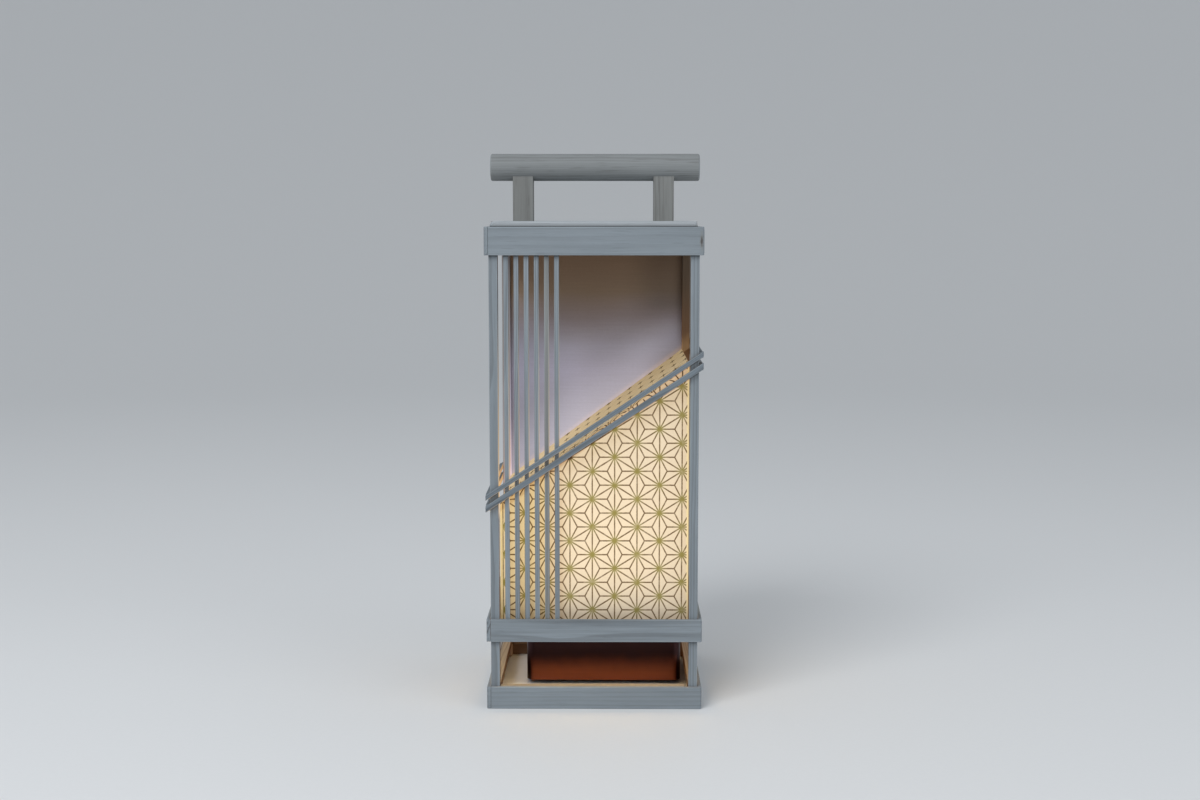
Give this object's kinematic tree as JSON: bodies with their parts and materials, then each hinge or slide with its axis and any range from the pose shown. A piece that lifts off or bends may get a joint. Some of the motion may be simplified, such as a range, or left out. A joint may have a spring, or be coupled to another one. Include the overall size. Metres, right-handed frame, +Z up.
{
  "type": "andon lantern",
  "caption": "Square wooden stick-frame lantern with printed paper shade under a slanting top, side slats, diagonal sash strips, round carrying handle and a battery light unit",
  "frame": {"origin": "middle of the lantern's base, on the surface it stands on", "axes": "+Z up, the front with the slats towards -Y, +X to the right as seen from the front"},
  "size_m": [0.154, 0.154, 0.3976],
  "materials": {
    "frame_wood": "bare planed cedar, satin",
    "slat_wood": "bare planed cedar, satin",
    "sash_wood": "bare planed cedar, satin",
    "handle_wood": "bare turned cedar, satin",
    "lid_board": "whitened, matte",
    "printed_paper": "translucent, hemp-leaf print",
    "white_paper": "matte white paper board",
    "steel": "zinc plated",
    "copper": "satin copper",
    "dark_plastic": "fine matte",
    "button_plastic": "fine matte",
    "cell_wrap": "shrink-wrapped cell, satin",
    "circuit_board": "solder-masked laminate",
    "milky_plastic": "milky, translucent",
    "black_rubber": "matte"
  },
  "bodies": {
    "light_unit": {"light_case": "copper", "light_base": "dark_plastic", "battery_cell_front": "cell_wrap", "battery_cell_back": "cell_wrap", "control_board": "circuit_board", "charge_socket": "steel", "led_board": "circuit_board", "diffuser": "milky_plastic", "case_screws": "steel", "rubber_feet": "black_rubber"},
    "lantern_frame": {"back_panel": "white_paper", "base_band_back": "frame_wood", "base_band_front": "frame_wood", "base_band_left": "frame_wood", "base_band_right": "frame_wood", "base_rail_back": "frame_wood", "base_rail_front": "frame_wood", "base_rail_left": "frame_wood", "base_rail_right": "frame_wood", "handle_bar": "handle_wood", "handle_pegs": "handle_wood", "handle_post_left": "handle_wood", "handle_post_right": "handle_wood", "handle_screws": "steel", "lid": "lid_board", "lid_brads": "steel", "mid_band_back": "frame_wood", "mid_band_front": "frame_wood", "mid_band_left": "frame_wood", "mid_band_right": "frame_wood", "paper_shade": "printed_paper", "post_back_left": "frame_wood", "post_back_right": "frame_wood", "post_front_left": "frame_wood", "post_front_right": "frame_wood", "sash_lower_back": "sash_wood", "sash_lower_front": "sash_wood", "sash_lower_left": "sash_wood", "sash_lower_right": "sash_wood", "sash_upper_back": "sash_wood", "sash_upper_front": "sash_wood", "sash_upper_left": "sash_wood", "sash_upper_right": "sash_wood", "shade_ledge_back": "frame_wood", "shade_ledge_front": "frame_wood", "shade_ledge_left": "frame_wood", "shade_ledge_right": "frame_wood", "slat_1": "slat_wood", "slat_2": "slat_wood", "slat_3": "slat_wood", "slat_4": "slat_wood", "slat_5": "slat_wood", "slat_6": "slat_wood", "top_band_back": "frame_wood", "top_band_front": "frame_wood", "top_band_left": "frame_wood", "top_band_right": "frame_wood", "top_rail_back": "frame_wood", "top_rail_front": "frame_wood"},
    "power_button": {"power_button": "button_plastic"}
  },
  "joints": [
    {"name": "lantern_lift_off", "type": "slide", "parent": "light_unit", "child": "lantern_frame", "axis": [0, 0, 1], "range_m": [0, 0.08]},
    {"name": "power_button_press", "type": "slide", "parent": "light_unit", "child": "power_button", "axis": [0, 0, -1], "range_m": [0, 0.001], "stiffness_N_per_m": 300, "springref_m": -0.0005}
  ]
}
